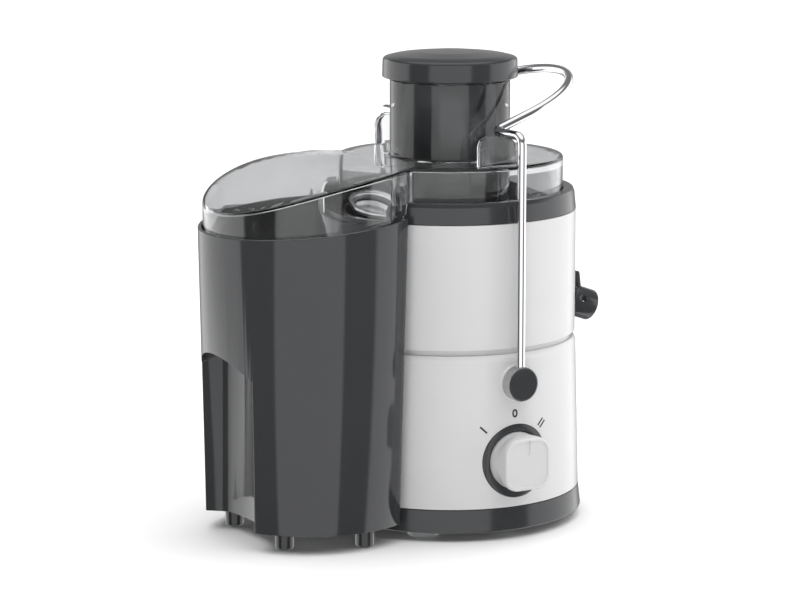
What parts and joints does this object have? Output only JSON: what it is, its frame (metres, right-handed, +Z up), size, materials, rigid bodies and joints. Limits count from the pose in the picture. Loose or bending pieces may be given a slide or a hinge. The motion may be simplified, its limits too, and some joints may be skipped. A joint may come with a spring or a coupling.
{
  "type": "centrifugal juicer",
  "caption": "Upright centrifugal juicer with a smoked lid and feed tube, a wire locking bail, a speed knob, a drip-stop spout and a pulp container hugging its side.",
  "frame": {"origin": "middle of the object's box, on the surface that its feet stand on", "axes": "+Z up, +X from the pulp container towards the spout, -Y towards the speed knob"},
  "size_m": [0.277, 0.1836, 0.2932],
  "materials": {
    "white_abs": "semi-gloss moulded",
    "dark_abs": "satin moulded",
    "dark_gloss_abs": "gloss moulded",
    "smoked_clear": "clear, lightly smoked",
    "clear_rubber": "translucent",
    "rubber": "matte",
    "chrome": "polished",
    "satin_silver": "satin plated",
    "steel": "machined",
    "stainless": "polished, perforated",
    "copper": "enamelled wire",
    "brass": "machined"
  },
  "bodies": {
    "body": {"lower_housing": "white_abs", "bowl_shell": "white_abs", "base_skirt": "dark_abs", "bottom_plate": "dark_abs", "bowl_rim": "dark_abs", "dial_ring": "dark_abs", "rotary_switch": "dark_abs", "safety_switch": "dark_abs", "juice_bowl": "dark_abs", "spout_neck": "dark_abs", "pulp_container": "dark_gloss_abs", "container_foot_1": "dark_gloss_abs", "container_foot_2": "dark_gloss_abs", "container_foot_3": "dark_gloss_abs", "container_foot_4": "dark_gloss_abs", "lid": "smoked_clear", "suction_foot_1": "clear_rubber", "suction_foot_2": "clear_rubber", "suction_foot_3": "clear_rubber", "suction_foot_4": "clear_rubber", "shaft_seal": "rubber", "cord_inlet": "rubber", "lid_gasket": "rubber", "bottom_screw_1": "steel", "bottom_screw_2": "steel", "bottom_screw_3": "steel", "bottom_screw_4": "steel", "motor_stator": "steel", "bearing_lower": "steel", "bearing_upper": "steel", "lower_bracket": "steel", "upper_bracket": "steel", "pivot_pin_near": "steel", "pivot_pin_far": "steel", "spout_pin_near": "steel", "spout_pin_far": "steel", "brush_left": "brass", "brush_right": "brass"},
    "drive": {"motor_shaft": "steel", "motor_armature": "copper", "commutator": "copper", "cooling_fan": "white_abs", "drive_coupling": "dark_abs", "sieve_base": "white_abs", "sieve_mesh": "stainless", "sieve_rim": "stainless", "grater_disc": "stainless", "grater_nut": "stainless"},
    "pusher": {"pusher_body": "dark_abs", "pusher_cap": "dark_abs"},
    "bail": {"locking_bail": "chrome", "bail_hub_near": "satin_silver", "bail_hub_far": "satin_silver", "bail_cap_near": "dark_abs", "bail_cap_far": "dark_abs"},
    "speed_knob": {"knob": "white_abs", "knob_shaft": "steel"},
    "nozzle": {"drip_spout": "dark_abs"}
  },
  "joints": [
    {"name": "pusher_slide", "type": "slide", "parent": "body", "child": "pusher", "axis": [0, 0, 1], "range_m": [0, 0.09]},
    {"name": "bail_swing", "type": "hinge", "parent": "body", "child": "bail", "pos_m": [0.02952, 0.00295, 0.097], "axis": [0, 1, 0], "range_deg": [0, 90]},
    {"name": "knob_turn", "type": "hinge", "parent": "body", "child": "speed_knob", "pos_m": [0.02952, 0.00295, 0.0483], "axis": [0, -1, 0], "range_deg": [-45, 45]},
    {"name": "drive_spin", "type": "hinge", "parent": "body", "child": "drive", "pos_m": [0.02952, 0.00295, 0.1693], "axis": [0, 0, 1], "continuous": true},
    {"name": "spout_flip", "type": "hinge", "parent": "body", "child": "nozzle", "pos_m": [0.12482, 0.00295, 0.129], "axis": [0, -1, 0], "range_deg": [0, 30]}
  ]
}
